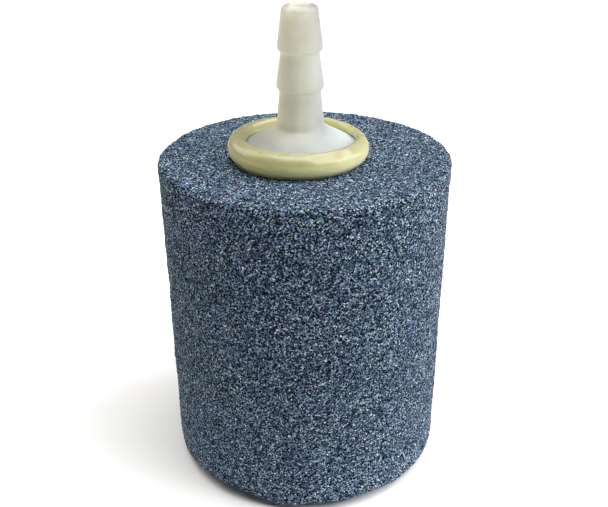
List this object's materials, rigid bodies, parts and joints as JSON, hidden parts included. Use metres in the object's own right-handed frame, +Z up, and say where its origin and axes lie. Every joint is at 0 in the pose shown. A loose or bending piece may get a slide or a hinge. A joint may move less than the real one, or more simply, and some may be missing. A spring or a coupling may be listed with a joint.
{
  "type": "air stone",
  "caption": "Cylindrical aquarium and pond air stone: a porous grit body with a barbed hose inlet glued into its top under a fat adhesive bead.",
  "frame": {"origin": "centre of the stone's flat base, on the surface it stands on", "axes": "+Z up the stone's axis and out of the hose inlet; the inlet's own axis is parallel to it, 0.7 mm towards -X and 1.5 mm towards -Y"},
  "size_m": [0.05, 0.05, 0.0832],
  "materials": {
    "bonded_grit": "matte",
    "inlet_plastic": "satin",
    "cured_adhesive": "gloss",
    "bead_adhesive": "gloss"
  },
  "bodies": {
    "root": {"stone": "bonded_grit", "barbed_inlet": "inlet_plastic", "bonding_adhesive": "cured_adhesive", "sealing_bead": "bead_adhesive"}
  },
  "joints": []
}
